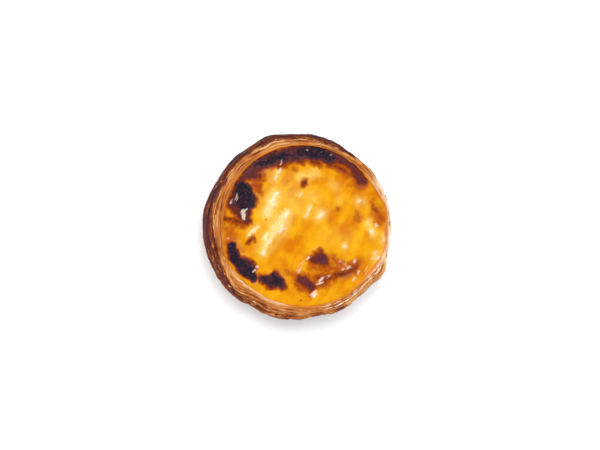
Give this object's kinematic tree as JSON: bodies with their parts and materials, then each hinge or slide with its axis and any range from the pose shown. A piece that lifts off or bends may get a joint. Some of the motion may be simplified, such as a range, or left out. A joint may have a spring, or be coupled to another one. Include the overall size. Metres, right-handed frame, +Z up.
{
  "type": "custard tart",
  "caption": "Small round custard tart in a flared cup of layered puff pastry, its leafy rim wide on one side, with a glossy custard skin that is blistered and scorched.",
  "frame": {"origin": "centre of the tart's outline seen from above, on the flat underside", "axes": "+Z up out of the custard; +X towards the narrow side of the rim, -X towards its wide dark side; +Y towards the long scorched arc at the back"},
  "size_m": [0.0762, 0.0738, 0.0263],
  "materials": {
    "pastry": "baked puff pastry, dull golden brown, almost black on its outer edges",
    "custard": "baked egg custard with a glossy yellow skin scorched dark brown in patches"
  },
  "bodies": {
    "root": {"pastry_case": "pastry", "custard": "custard"}
  },
  "joints": []
}
